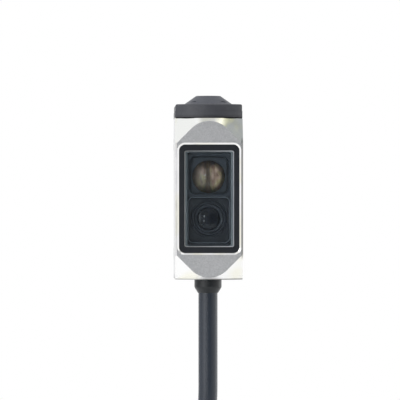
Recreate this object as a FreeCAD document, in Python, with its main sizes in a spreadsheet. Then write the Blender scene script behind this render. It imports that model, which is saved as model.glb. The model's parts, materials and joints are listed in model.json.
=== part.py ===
"""Miniature photoelectric sensor in a stainless steel housing with a connecting cable.

Frame, in millimetres: X across the width, the optical face looks along -Y, Z is up.
The origin is the middle of the line between the two side mounting holes, halfway through the width.
"""

import FreeCAD, Part
import math
import os

import Sketcher

Vector = FreeCAD.Vector
doc = FreeCAD.newDocument("PhotoelectricSensor")

# --------------------------------------------------------------------------- driving dimensions

SIZES = {
    # housing
    "body_width": 15.4,
    "body_depth": 28.0,
    "body_top": 18.65,
    "body_bottom": -18.3,
    "hole_setback": 3.6,
    "hole_spacing": 25.4,
    "hole_bore": 3.2,
    "nose_tip": 17.8,
    "nose_shoulder": 12.45,
    "nose_round": 5.65,
    "nose_depth": 5.0,
    "facet_angle": 45,
    "wall": 1.4,
    "end_chamfer": 0.25,
    "edge_chamfer": 0.35,
    "rim_depth": 0.3,
    "rim_angle": 53,
    "rear_round": 1.2,
    "cavity_front": 4.9,
    "web": 7.6,
    # window
    "window_width": 13.75,
    "window_height": 24.7,
    "window_round": 1.4,
    "window_lift": 0.1,
    "window_setback": 0.3,
    "recess_depth": 1.4,
    "pane_width": 11.3,
    "pane_height": 21.95,
    "pane_thick": 0.95,
    "pane_round": 0.5,
    "passage_width": 12.6,
    "passage_height": 23.2,
    # optics
    "holder_front": 2.9,
    "holder_rear": 15.7,
    "chamber_depth": 2.0,
    "chamber_edge": 0.2,
    "moat_width": 0.3,
    "moat_depth": 0.8,
    "upper_chamber_width": 8.7,
    "upper_chamber_round": 1.5,
    "upper_chamber_top": 9.75,
    "upper_chamber_bottom": 1.2,
    "lower_chamber_width": 9.3,
    "lower_chamber_round": 1.1,
    "lower_chamber_top": 0.35,
    "lower_chamber_bottom": -9.8,
    "emitter_height": 5.15,
    "emitter_radius": 3.75,
    "receiver_height": -4.4,
    "receiver_radius": 4.3,
    "lens_edge": 0.8,
    "lens_dome": 1.3,
    "seat_depth": 2.5,
    # electronics
    "board_thick": 1.0,
    "board_width": 12.0,
    "board_top": 14.6,
    "board_bottom": -14.8,
    "cap_board_level": 15.0,
    "cap_board_thick": 0.8,
    # cap and setting controls
    "cap_height": 3.05,
    "cap_lip": 1.5,
    "cap_inset": 0.1,
    "cap_roof": 1.5,
    "cap_nose": 3.5,
    "skirt_depth": 2.0,
    "control_axis": -14.5,
    "ring_base": 5.6,
    "ring_top": 2.8,
    "ring_height": 1.96,
    "ring_gap": 0.05,
    "hub_radius": 3.0,
    "hub_drop": 2.1,
    "lip_radius": 3.4,
    "spindle_radius": 1.5,
    "fit_gap": 0.05,
    "guide_radius": 1.1,
    "guide_spacing": 6.0,
    "guide_setback": 7.2,
    # cable and gland
    "cable_axis": -12.0,
    "cable_radius": 2.2,
    "gland_radius": 3.14,
    "gland_length": 3.25,
    "gland_taper": 1.3,
    "gland_inset": 0.8,
    "gland_round": 1.0,
    "neck_radius": 2.7,
    "core_radius": 0.55,
    "coil_middle_radius": 24.9,
    "coil_columns": 4,
    "coil_layers": 3,
    "coil_axis_level": -92.5,
    "tie_width": 3.6,
    "tie_thick": 1.1,
}

sheet = doc.addObject("Spreadsheet::Sheet", "Sizes")
for row, (alias, value) in enumerate(SIZES.items(), start=1):
    sheet.set(f"A{row}", alias.replace("_", " "))
    sheet.set(f"B{row}", str(value))
    sheet.setAlias(f"B{row}", alias)
doc.recompute()

# Levels used by many parts, as expressions of the sheet.
FRONT = "(Sizes.hole_setback - Sizes.body_depth)"
REAR = "Sizes.hole_setback"
WINDOW_FACE = f"({FRONT} + Sizes.window_setback)"
TOP = "Sizes.body_top"
BOTTOM = "Sizes.body_bottom"
FLOOR = "(Sizes.body_bottom + Sizes.wall)"
CAP_TOP = "(Sizes.body_top + Sizes.cap_height)"
BOARD_FACE = f"({FRONT} + Sizes.holder_rear + 0.1)"
BOARD_BACK = f"({BOARD_FACE} + Sizes.board_thick)"
WELL_BACK = f"({REAR} - Sizes.web)"
CAP_BOARD_TOP = "(Sizes.cap_board_level + Sizes.cap_board_thick)"
ROOF = f"({CAP_TOP} - Sizes.cap_roof)"


def number(expression):
    """The value of an expression of the sheet, as a plain number."""
    return float(sheet.evalExpression(str(expression)))


# --------------------------------------------------------------------------- building helpers

subparts = []


def subpart(feature, node):
    """Marks a feature as a finished sub-part with its own label."""
    feature.Label = node
    subparts.append(feature)
    return feature


def bind(feature, **expressions):
    """Binds properties to expressions; a double underscore stands for a dot in the path."""
    for path, expression in expressions.items():
        feature.setExpression(path.replace("__", "."), str(expression))


def place(feature, x=0, y=0, z=0):
    """Binds the three coordinates of a feature's placement."""
    bind(feature, Placement__Base__x=x, Placement__Base__y=y, Placement__Base__z=z)


def box(name, x, y, z):
    """A box between low and high expressions along each axis, given as pairs."""
    feature = doc.addObject("Part::Box", name)
    for side, (low, high) in zip(("Length", "Width", "Height"), (x, y, z)):
        feature.setExpression(side, f"({high}) - ({low})")
    place(feature, x[0], y[0], z[0])
    return feature


def span(centre, size):
    """Low and high expressions of a size about a centre."""
    return f"({centre}) - ({size}) / 2", f"({centre}) + ({size}) / 2"


AXES = {
    "X": FreeCAD.Rotation(Vector(0, 0, 1), Vector(1, 0, 0)),
    "Y": FreeCAD.Rotation(Vector(0, 0, 1), Vector(0, 1, 0)),
    "Z": FreeCAD.Rotation(),
}


def cylinder(name, radius, length, x=0, y=0, z=0, axis="Z"):
    """A cylinder whose base centre is at x, y, z and which grows along axis."""
    feature = doc.addObject("Part::Cylinder", name)
    feature.Placement = FreeCAD.Placement(Vector(), AXES[axis])
    bind(feature, Radius=radius, Height=length)
    place(feature, x, y, z)
    return feature


def cone(name, radius1, radius2, length, x=0, y=0, z=0, axis="Z"):
    """A truncated cone from radius1 at its base to radius2 at its end along axis."""
    feature = doc.addObject("Part::Cone", name)
    feature.Placement = FreeCAD.Placement(Vector(), AXES[axis])
    bind(feature, Radius1=radius1, Radius2=radius2, Height=length)
    place(feature, x, y, z)
    return feature


def torus(name, radius, section, x=0, y=0, z=0, axis="Z"):
    """A ring of round section, such as an O-ring."""
    feature = doc.addObject("Part::Torus", name)
    feature.Placement = FreeCAD.Placement(Vector(), AXES[axis])
    bind(feature, Radius1=radius, Radius2=section)
    place(feature, x, y, z)
    return feature


def fuse(name, *features):
    """One solid made of several that overlap or touch."""
    feature = doc.addObject("Part::MultiFuse", name)
    feature.Shapes = list(features)
    feature.Refine = True
    return feature


def group(name, *features):
    """Separate solids kept together in one sub-part."""
    feature = doc.addObject("Part::Compound", name)
    feature.Links = list(features)
    return feature


def cut(name, base, *tools):
    """Base with the tools removed."""
    tool = tools[0] if len(tools) == 1 else fuse(name + "_tools", *tools)
    feature = doc.addObject("Part::Cut", name)
    feature.Base = base
    feature.Tool = tool
    feature.Refine = True
    return feature


def common(name, *features):
    """What all the features share."""
    feature = doc.addObject("Part::MultiCommon", name)
    feature.Shapes = list(features)
    return feature


def dressed(kind, name, base, size, chosen):
    """Base with a Part::Fillet or Part::Chamfer on each edge for which chosen(edge) is true."""
    doc.recompute()
    feature = doc.addObject(kind, name)
    feature.Base = base
    reach = number(size)
    feature.Edges = [
        (index, reach, reach) for index, edge in enumerate(base.Shape.Edges, start=1) if chosen(edge)
    ]
    return feature


def rounded(name, base, radius, chosen):
    """Base with a fillet on the chosen edges."""
    return dressed("Part::Fillet", name, base, radius, chosen)


def chamfered(name, base, size, chosen):
    """Base with a chamfer on the chosen edges."""
    return dressed("Part::Chamfer", name, base, size, chosen)


def runs_along(edge, axis):
    """True for a straight edge parallel to the named axis."""
    if edge.Curve.TypeId != "Part::GeomLine":
        return False
    direction = edge.tangentAt(edge.FirstParameter)
    return abs(abs(getattr(direction, axis.lower())) - 1) < 1e-6


def at_level(edge, z):
    """True for an edge that lies wholly at the height z."""
    return abs(edge.BoundBox.ZMin - z) < 1e-6 and abs(edge.BoundBox.ZMax - z) < 1e-6


def body(name):
    """An empty PartDesign body."""
    return doc.addObject("PartDesign::Body", name)


def sketch_on(owner, name, role, offset=0):
    """A sketch on one of the body's own origin planes, moved along the plane's normal."""
    sketch = owner.newObject("Sketcher::SketchObject", name)
    plane = next(feature for feature in owner.Origin.OriginFeatures if feature.Role == role)
    sketch.AttachmentSupport = [(plane, "")]
    sketch.MapMode = "FlatFace"
    sketch.setExpression("AttachmentOffset.Base.z", str(offset))
    return sketch


def dimension(sketch, kind, *references, size):
    """Adds a sketch dimension and binds it to an expression."""
    index = sketch.addConstraint(Sketcher.Constraint(kind, *references, number(size)))
    sketch.setExpression(f"Constraints[{index}]", str(size))


def draw_rounded_rectangle(sketch, width, height, radius, x=0, y=0):
    """A rectangle with rounded corners about x, y: four sides tangent to four equal arcs."""
    half_w, half_h, r = number(width) / 2, number(height) / 2, number(radius)
    cx, cy = number(x), number(y)
    corners = ((1, 1, 0), (-1, 1, 90), (-1, -1, 180), (1, -1, 270))
    arcs = []
    for side_x, side_y, start in corners:
        centre = Vector(cx + side_x * (half_w - r), cy + side_y * (half_h - r), 0)
        circle = Part.Circle(centre, Vector(0, 0, 1), r)
        first = math.radians(start)
        arcs.append(sketch.addGeometry(Part.ArcOfCircle(circle, first, first + math.pi / 2)))
    sides = []
    for index, arc in enumerate(arcs):
        follower = arcs[(index + 1) % 4]
        start = sketch.getPoint(arc, 2)
        end = sketch.getPoint(follower, 1)
        sides.append(sketch.addGeometry(Part.LineSegment(start, end)))
        sketch.addConstraint(Sketcher.Constraint("Tangent", arc, 2, sides[-1], 1))
        sketch.addConstraint(Sketcher.Constraint("Tangent", sides[-1], 2, follower, 1))
    sketch.addConstraint(Sketcher.Constraint("Horizontal", sides[0]))
    sketch.addConstraint(Sketcher.Constraint("Vertical", sides[1]))
    sketch.addConstraint(Sketcher.Constraint("Horizontal", sides[2]))
    sketch.addConstraint(Sketcher.Constraint("Vertical", sides[3]))
    for arc in arcs[1:]:
        sketch.addConstraint(Sketcher.Constraint("Equal", arcs[0], arc))
    dimension(sketch, "Radius", arcs[0], size=radius)
    dimension(sketch, "DistanceX", -1, 1, arcs[1], 3, size=f"({x}) - ({width}) / 2 + ({radius})")
    dimension(sketch, "DistanceX", arcs[1], 3, arcs[0], 3, size=f"({width}) - 2 * ({radius})")
    dimension(sketch, "DistanceY", -1, 1, arcs[2], 3, size=f"({y}) - ({height}) / 2 + ({radius})")
    dimension(sketch, "DistanceY", arcs[2], 3, arcs[1], 3, size=f"({height}) - 2 * ({radius})")


def draw_profile(sketch, points):
    """A closed outline of straight sides through points given as pairs of expressions."""
    values = [Vector(number(x), number(y), 0) for x, y in points]
    lines = []
    for index, start in enumerate(values):
        end = values[(index + 1) % len(values)]
        lines.append(sketch.addGeometry(Part.LineSegment(start, end)))
    for index, line in enumerate(lines):
        follower = lines[(index + 1) % len(lines)]
        sketch.addConstraint(Sketcher.Constraint("Coincident", line, 2, follower, 1))
    for line, (x, y) in zip(lines, points):
        dimension(sketch, "DistanceX", -1, 1, line, 1, size=x)
        dimension(sketch, "DistanceY", -1, 1, line, 1, size=y)


def extrude(owner, name, sketch, length, forward=True):
    """A pad of a sketch; forward goes along the sketch plane's normal."""
    pad = owner.newObject("PartDesign::Pad", name)
    pad.Profile = sketch
    pad.setExpression("Length", str(length))
    pad.Reversed = not forward
    return pad


def rounded_plate(name, width, height, radius, front, thick, lift="Sizes.window_lift"):
    """A plate standing in the XZ plane with rounded corners, from front towards +Y."""
    owner = body(name)
    sketch = sketch_on(owner, name + "_outline", "XZ_Plane", f"-({front})")
    draw_rounded_rectangle(sketch, width, height, radius, 0, lift)
    extrude(owner, name + "_pad", sketch, thick, forward=False)
    return owner


def turned(name, points, x=0, y=0, z=0):
    """A body turned about a vertical axis through x, y from a half section of radius and height."""
    owner = body(name)
    sketch = sketch_on(owner, name + "_section", "XZ_Plane")
    draw_profile(sketch, points)
    turn = owner.newObject("PartDesign::Revolution", name + "_turn")
    turn.Profile = sketch
    turn.ReferenceAxis = (sketch, ["V_Axis"])
    turn.Angle = 360
    place(owner, x, y, z)
    return owner


# --------------------------------------------------------------------------- housing


def nose_outline():
    """The front face's outline: a slot-like hexagon with a rounded tip above and below."""
    half = number("Sizes.body_width") / 2
    shoulder = number("Sizes.nose_shoulder")
    tip = number("Sizes.nose_tip")
    radius = number("Sizes.nose_round")
    centre = tip - radius
    # The straight side runs from the shoulder to the arc and touches it there.
    reach = math.hypot(half, shoulder - centre)
    turn = math.atan2(shoulder - centre, half) + math.acos(radius / reach)
    touch_x = radius * math.cos(turn)
    touch_z = centre + radius * math.sin(turn)
    edges = []
    for sign in (1, -1):
        start = Vector(sign * half, 0, sign * shoulder)
        touch = Vector(sign * touch_x, 0, sign * touch_z)
        opposite = Vector(-sign * touch_x, 0, sign * touch_z)
        end = Vector(-sign * half, 0, sign * shoulder)
        edges.append(Part.makeLine(Vector(sign * half, 0, -sign * shoulder), start))
        edges.append(Part.makeLine(start, touch))
        edges.append(Part.Arc(touch, Vector(0, 0, sign * tip), opposite).toShape())
        edges.append(Part.makeLine(opposite, end))
    outline = doc.addObject("Part::Feature", "nose_outline")
    outline.Shape = Part.Wire(Part.__sortEdges__(edges))
    place(outline, 0, FRONT, 0)
    return outline


def make_housing():
    """Steel housing: a block whose four front corners fall back in facets around the nose."""
    width = span(0, "Sizes.body_width")
    height = (BOTTOM, TOP)
    nose = doc.addObject("Part::Extrusion", "nose")
    nose.Base = nose_outline()
    nose.DirMode = "Custom"
    nose.Dir = Vector(0, 1, 0)
    nose.Solid = True
    bind(nose, LengthFwd="Sizes.nose_depth", TaperAngle="Sizes.facet_angle")
    split = f"{FRONT} + Sizes.nose_depth"
    front_slab = box("front_slab", width, (FRONT, split), height)
    rear_block = box("rear_block", width, (split, REAR), height)
    blank = fuse("housing_blank", common("faceted_front", front_slab, nose), rear_block)
    doc.recompute()
    rear = number(REAR)
    blank = rounded(
        "housing_rounded", blank, "Sizes.rear_round",
        lambda edge: runs_along(edge, "Z") and abs(edge.BoundBox.YMax - rear) < 1e-6,
    )
    face = number(FRONT)
    blank = chamfered(
        "housing_sides", blank, "Sizes.edge_chamfer",
        lambda edge: runs_along(edge, "Z") and abs(edge.BoundBox.YMax - face) < 1e-6,
    )
    top, bottom, facet_end = number(TOP), number(BOTTOM), number(split)
    blank = chamfered(
        "housing_ends", blank, "Sizes.end_chamfer",
        lambda edge: (at_level(edge, top) or at_level(edge, bottom)) and edge.BoundBox.YMax < facet_end,
    )
    recess = rounded_plate(
        "window_recess", "Sizes.window_width", "Sizes.window_height", "Sizes.window_round",
        FRONT, "Sizes.recess_depth",
    )
    rim = body("window_rim")
    rim_sketch = sketch_on(rim, "window_rim_outline", "XZ_Plane", f"-({FRONT} + Sizes.rim_depth)")
    draw_rounded_rectangle(
        rim_sketch, "Sizes.window_width", "Sizes.window_height", "Sizes.window_round",
        0, "Sizes.window_lift",
    )
    rim_pad = extrude(rim, "window_rim_pad", rim_sketch, "Sizes.rim_depth + 0.1")
    bind(rim_pad, TaperAngle="Sizes.rim_angle")
    passage = box(
        "window_passage", span(0, "Sizes.passage_width"),
        (FRONT, f"{FRONT} + Sizes.cavity_front + 1"), span("Sizes.window_lift", "Sizes.passage_height"),
    )
    well = box(
        "electronics_well", span(0, "Sizes.body_width - 2 * Sizes.wall"),
        (f"{FRONT} + Sizes.cavity_front", WELL_BACK), (FLOOR, f"{TOP} + 1"),
    )
    cable_hole = cylinder(
        "cable_hole", "Sizes.neck_radius + Sizes.fit_gap", "Sizes.wall + 2",
        0, "Sizes.cable_axis", f"{BOTTOM} - 1",
    )
    holes = [
        cylinder(
            f"mounting_hole_{label}", "Sizes.hole_bore / 2", "Sizes.body_width + 2",
            "-Sizes.body_width / 2 - 1", 0, f"{sign} * Sizes.hole_spacing / 2", "X",
        )
        for label, sign in (("upper", 1), ("lower", -1))
    ]
    machined = cut("housing_machined", blank, recess, rim, passage, well, cable_hole, *holes)
    subpart(machined, "housing")


# --------------------------------------------------------------------------- window and optics


def make_window():
    """Black frame bonded into the recess, with a gasket behind it, and the clear pane in its rebate."""
    clearance = "2 * Sizes.fit_gap"
    flange = rounded_plate(
        "frame_flange", f"Sizes.window_width - {clearance}", f"Sizes.window_height - {clearance}",
        "Sizes.window_round - Sizes.fit_gap", WINDOW_FACE,
        "Sizes.recess_depth - Sizes.window_setback - 0.2",
    )
    spigot = rounded_plate(
        "frame_spigot", "Sizes.passage_width - 0.2", "Sizes.passage_height - 0.2", "0.4",
        f"{FRONT} + 0.5", "Sizes.holder_front - 0.6",
    )
    rebate = rounded_plate(
        "frame_rebate", f"Sizes.pane_width + {clearance}", f"Sizes.pane_height + {clearance}",
        "Sizes.pane_round", f"{WINDOW_FACE} - 0.1", "Sizes.pane_thick + 0.4",
    )
    opening = rounded_plate(
        "frame_opening", "Sizes.lower_chamber_width + 0.6", "Sizes.pane_height - 1.1",
        "Sizes.lower_chamber_round", f"{FRONT} - 0.1", "Sizes.holder_front + 1",
    )
    frame = cut("frame_cut", fuse("frame_blank", flange, spigot), rebate, opening)
    subpart(frame, "window_frame")

    gasket = rounded_plate(
        "frame_gasket", f"Sizes.window_width - {clearance}", f"Sizes.window_height - {clearance}",
        "Sizes.window_round - Sizes.fit_gap", f"{FRONT} + Sizes.recess_depth - 0.2", "0.2",
    )
    gasket_hole = box(
        "frame_gasket_hole", span(0, "Sizes.passage_width - 0.1"), (FRONT, f"{FRONT} + 3"),
        span("Sizes.window_lift", "Sizes.passage_height - 0.1"),
    )
    subpart(cut("frame_gasket_cut", gasket, gasket_hole), "frame_seal")

    pane = rounded_plate(
        "pane", "Sizes.pane_width", "Sizes.pane_height", "Sizes.pane_round",
        f"{WINDOW_FACE} + 0.05", "Sizes.pane_thick",
    )
    subpart(pane, "front_window")

    seal = rounded_plate(
        "pane_seal", "Sizes.pane_width - 0.1", "Sizes.pane_height - 0.1", "Sizes.pane_round",
        f"{WINDOW_FACE} + Sizes.pane_thick + 0.05", "0.25",
    )
    seal_hole = box(
        "pane_seal_hole", span(0, "Sizes.lower_chamber_width + 0.6"), (FRONT, f"{FRONT} + 3"),
        span("Sizes.window_lift", "Sizes.pane_height - 1.1"),
    )
    subpart(cut("pane_seal_cut", seal, seal_hole), "window_seal")


def make_optics_holder():
    """Black block with two chambers behind the pane, each leading through a lens seat and a cone.

    A narrow moat runs round the floor of the upper chamber.
    """
    front = f"{FRONT} + Sizes.holder_front"
    seat = f"{front} + Sizes.chamber_depth"
    throat = f"{seat} + Sizes.seat_depth"
    block = box(
        "holder_block", span(0, "Sizes.passage_width - 0.2"), (front, f"{FRONT} + Sizes.holder_rear"),
        span("Sizes.window_lift", "Sizes.passage_height - 0.4"),
    )
    tools = []
    for label in ("upper", "lower"):
        high = f"Sizes.{label}_chamber_top"
        low = f"Sizes.{label}_chamber_bottom"
        tools.append(rounded_plate(
            f"{label}_chamber", f"Sizes.{label}_chamber_width", f"{high} - {low}",
            f"Sizes.{label}_chamber_round", f"{front} - 1", "Sizes.chamber_depth + 1",
            f"({high} + {low}) / 2",
        ))
    height = "Sizes.upper_chamber_top - Sizes.upper_chamber_bottom"
    middle = "(Sizes.upper_chamber_top + Sizes.upper_chamber_bottom) / 2"
    moat_outside = rounded_plate(
        "moat_outside", "Sizes.upper_chamber_width", height, "Sizes.upper_chamber_round",
        f"{seat} - 0.1", "Sizes.moat_depth + 0.1", middle,
    )
    moat_inside = rounded_plate(
        "moat_inside", "Sizes.upper_chamber_width - 2 * Sizes.moat_width",
        f"{height} - 2 * Sizes.moat_width", "Sizes.upper_chamber_round - Sizes.moat_width",
        f"{seat} - 0.2", "Sizes.moat_depth + 0.4", middle,
    )
    tools.append(cut("moat", moat_outside, moat_inside))
    lenses = (("emitter", "Sizes.emitter_height"), ("receiver", "Sizes.receiver_height"))
    for label, height in lenses:
        radius = f"Sizes.{label}_radius"
        tools.append(cylinder(
            f"{label}_seat", f"{radius} + Sizes.fit_gap", "Sizes.seat_depth + 1",
            0, f"{seat} - 1", height, "Y",
        ))
        tools.append(cone(
            f"{label}_cone", f"{radius} - 0.4", "1.8", f"{FRONT} + Sizes.holder_rear - 2 - ({throat})",
            0, throat, height, "Y",
        ))
        tools.append(box(
            f"{label}_pocket", span(0, "5.4"),
            (f"{FRONT} + Sizes.holder_rear - 2.1", f"{FRONT} + Sizes.holder_rear + 1"), span(height, "5.4"),
        ))
    holder = cut("holder_cut", block, *tools)
    face = number(front)
    outer = number("Sizes.lower_chamber_width / 2 + 0.01")

    def on_chamber_mouth(edge):
        """True for an edge round the mouth of a chamber."""
        bounds = edge.BoundBox
        return abs(bounds.YMax - face) < 1e-6 and max(-bounds.XMin, bounds.XMax) < outer

    subpart(chamfered("holder_mouths", holder, "Sizes.chamber_edge", on_chamber_mouth), "optics_holder")


def make_lens(node, height, radius):
    """Plano-convex lens: a disc whose front swells to a shallow dome."""
    seat = f"{FRONT} + Sizes.holder_front + Sizes.chamber_depth"
    edge_front = f"{seat} + Sizes.seat_depth - 1.3"
    disc = cylinder(
        f"{node}_disc", radius, "Sizes.lens_edge + Sizes.lens_dome",
        0, f"{edge_front} - Sizes.lens_dome", height, "Y",
    )
    ball = doc.addObject("Part::Sphere", f"{node}_ball")
    curvature = f"(({radius}) ^ 2 + Sizes.lens_dome ^ 2) / (2 * Sizes.lens_dome)"
    bind(ball, Radius=curvature)
    place(ball, 0, f"{edge_front} - Sizes.lens_dome + {curvature}", height)
    subpart(common(f"{node}_lens", disc, ball), node)


def make_stop(node, height, radius, bore):
    """Thin black ring behind a lens, which limits its aperture."""
    front = f"{FRONT} + Sizes.holder_front + Sizes.chamber_depth + Sizes.seat_depth - 0.5"
    ring = cylinder(f"{node}_disc", radius, "0.4", 0, front, height, "Y")
    hole = cylinder(f"{node}_bore", bore, "2", 0, f"{front} - 1", height, "Y")
    subpart(cut(f"{node}_ring", ring, hole), node)


def make_optics():
    """Holder, two lenses, their stops, and the light source and detector behind them."""
    make_optics_holder()
    make_lens("emitter_lens", "Sizes.emitter_height", "Sizes.emitter_radius")
    make_lens("receiver_lens", "Sizes.receiver_height", "Sizes.receiver_radius")
    make_stop("emitter_stop", "Sizes.emitter_height", "Sizes.emitter_radius", "3.3")
    make_stop("receiver_stop", "Sizes.receiver_height", "Sizes.receiver_radius", "2.5")
    led = box(
        "emitter_package", span(0, "3.5"), (f"{BOARD_FACE} - 1.4", BOARD_FACE),
        span("Sizes.emitter_height", "3.5"),
    )
    subpart(led, "emitter_led")
    pads = [
        box(
            f"emitter_pad_{side}", span(f"{sign} * 0.7", "1.1"),
            (f"{BOARD_FACE} - 1.5", f"{BOARD_FACE} - 1.4"), span("Sizes.emitter_height", "2.6"),
        )
        for side, sign in (("left", -1), ("right", 1))
    ]
    subpart(group("emitter_pads", *pads), "emitter_leadframe")
    diode = box(
        "receiver_package", span(0, "4.6"), (f"{BOARD_FACE} - 1.2", BOARD_FACE),
        span("Sizes.receiver_height", "4.6"),
    )
    subpart(diode, "receiver_diode")


# --------------------------------------------------------------------------- electronics


def make_boards():
    """Main board upright behind the optics and a small board lying under the cap."""
    main = box(
        "main_board_blank", span(0, "Sizes.board_width"), (BOARD_FACE, BOARD_BACK),
        ("Sizes.board_bottom", "Sizes.board_top"),
    )
    subpart(main, "main_board")
    upper = box(
        "cap_board_blank", span(0, "Sizes.board_width"),
        (f"{FRONT} + Sizes.cavity_front + 0.3", f"{WELL_BACK} - 0.3"),
        ("Sizes.cap_board_level", CAP_BOARD_TOP),
    )
    subpart(upper, "cap_board")
    pins = [
        box(
            f"pin_{index}", span(f"{index - 2} * 1.27", "0.5"), (BOARD_BACK, f"{BOARD_BACK} + 0.5"),
            ("11.2", "Sizes.cap_board_level"),
        )
        for index in range(5)
    ]
    subpart(group("pins", *pins), "board_pins")


def chip(name, x, height, width, tall, thick):
    """A component lying on the back of the main board."""
    return box(name, span(x, width), (BOARD_BACK, f"{BOARD_BACK} + {thick}"), span(height, tall))


def make_components():
    """Chips, capacitors and resistors on the back of the main board."""
    subpart(chip("controller", 0, "4.0", "5.0", "5.0", "0.9"), "controller_chip")
    subpart(chip("driver", 0, "-6.5", "4.0", "3.2", "1.1"), "driver_chip")
    capacitors = [
        chip(f"capacitor_{index}", x, height, "1.6", "0.8", "0.8")
        for index, (x, height) in enumerate(((-4.4, 6.5), (-4.4, 3.5), (4.4, 6.5), (-4.4, -6.0)))
    ]
    capacitors.append(chip("tantalum", "0", "-11.2", "3.2", "1.6", "1.6"))
    subpart(group("capacitor_group", *capacitors), "capacitors")
    resistors = [
        chip(f"resistor_{index}", x, height, "1.0", "0.5", "0.35")
        for index, (x, height) in enumerate(
            ((4.4, 3.0), (4.4, 1.5), (-2.0, -1.0), (2.0, -1.0), (4.2, -5.5), (4.2, -8.0))
        )
    ]
    subpart(group("resistor_group", *resistors), "resistors")


# --------------------------------------------------------------------------- cap and controls


def make_cap():
    """Plastic cap: a flared lower lip, a rounded roof, a skirt inside the housing and a hollow."""
    inset = "Sizes.cap_inset"

    def outline(name, shrink, low, thick):
        """The cap's plan: straight sides and back, and a front that bows out as an arc."""
        owner = body(name)
        sketch = sketch_on(owner, name + "_plan", "XY_Plane", low)
        side = f"(Sizes.body_width / 2 - {shrink})"
        back = f"({REAR} - {shrink})"
        bowed = "Sizes.body_top - Sizes.nose_tip + Sizes.cap_nose"
        corner = f"({FRONT} + {shrink} + {bowed})"
        bow = f"({side} ^ 2 + Sizes.cap_nose ^ 2) / (2 * Sizes.cap_nose)"
        half, rear, front, radius = number(side), number(back), number(corner), number(bow)
        middle = front - number("Sizes.cap_nose") + radius
        swing = math.asin(half / radius)
        right = sketch.addGeometry(Part.LineSegment(Vector(half, front, 0), Vector(half, rear, 0)))
        rear_line = sketch.addGeometry(Part.LineSegment(Vector(half, rear, 0), Vector(-half, rear, 0)))
        left = sketch.addGeometry(Part.LineSegment(Vector(-half, rear, 0), Vector(-half, front, 0)))
        circle = Part.Circle(Vector(0, middle, 0), Vector(0, 0, 1), radius)
        arc = sketch.addGeometry(Part.ArcOfCircle(circle, -math.pi / 2 - swing, -math.pi / 2 + swing))
        chain = ((right, 2, rear_line, 1), (rear_line, 2, left, 1), (left, 2, arc, 1), (arc, 2, right, 1))
        for first, first_end, second, second_end in chain:
            sketch.addConstraint(
                Sketcher.Constraint("Coincident", first, first_end, second, second_end)
            )
        dimension(sketch, "DistanceX", -1, 1, right, 1, size=side)
        dimension(sketch, "DistanceY", -1, 1, right, 1, size=corner)
        dimension(sketch, "DistanceX", -1, 1, rear_line, 1, size=side)
        dimension(sketch, "DistanceY", -1, 1, rear_line, 1, size=back)
        dimension(sketch, "DistanceX", left, 1, -1, 1, size=side)
        dimension(sketch, "DistanceY", -1, 1, left, 1, size=back)
        dimension(sketch, "DistanceX", arc, 1, -1, 1, size=side)
        dimension(sketch, "DistanceY", -1, 1, arc, 1, size=corner)
        dimension(sketch, "Radius", arc, size=bow)
        extrude(owner, name + "_pad", sketch, thick)
        return owner

    lip = outline("cap_lip_slab", 0.03, TOP, "Sizes.cap_lip")
    roof = outline(
        "cap_roof_slab", inset, f"{TOP} + Sizes.cap_lip - 0.1",
        "Sizes.cap_height - Sizes.cap_lip + 0.1",
    )
    well_x = "Sizes.body_width - 2 * Sizes.wall"
    skirt = box(
        "cap_skirt", span(0, f"{well_x} - 0.1"),
        (f"{FRONT} + Sizes.cavity_front + 0.05", f"{WELL_BACK} - 0.05"),
        (f"{TOP} - Sizes.skirt_depth", f"{TOP} + 0.1"),
    )
    blank = fuse("cap_blank", lip, roof, skirt)
    doc.recompute()
    crown = number(CAP_TOP)
    blank = rounded("cap_rounded", blank, "0.4", lambda edge: at_level(edge, crown))
    hollow = box(
        "cap_hollow", span(0, f"{well_x} - 1.7"),
        (f"{FRONT} + Sizes.cavity_front + 0.9", f"{WELL_BACK} - 0.9"),
        (f"{TOP} - Sizes.skirt_depth - 1", ROOF),
    )
    bore = cylinder(
        "cap_bore", "Sizes.hub_radius + Sizes.fit_gap", "Sizes.cap_roof + 2",
        0, "Sizes.control_axis", f"{ROOF} - 1",
    )
    guides = [
        cylinder(
            f"guide_hole_{side}", "Sizes.guide_radius", "Sizes.cap_roof + 2",
            f"{sign} * Sizes.guide_spacing / 2", "Sizes.control_axis + Sizes.guide_setback",
            f"{ROOF} - 1",
        )
        for side, sign in (("left", -1), ("right", 1))
    ]
    subpart(cut("cap_cut", blank, hollow, bore, *guides), "cap")

    seal = box(
        "cap_seal_blank", span(0, f"{well_x} - 0.1"),
        (f"{FRONT} + Sizes.cavity_front + 0.05", f"{WELL_BACK} - 0.05"),
        (f"{TOP} - Sizes.skirt_depth - 0.4", f"{TOP} - Sizes.skirt_depth"),
    )
    seal_hole = box(
        "cap_seal_hole", span(0, f"{well_x} - 1.5"),
        (f"{FRONT} + Sizes.cavity_front + 0.8", f"{WELL_BACK} - 0.8"),
        (f"{TOP} - Sizes.skirt_depth - 1", TOP),
    )
    subpart(cut("cap_seal_cut", seal, seal_hole), "cap_seal")


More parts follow.
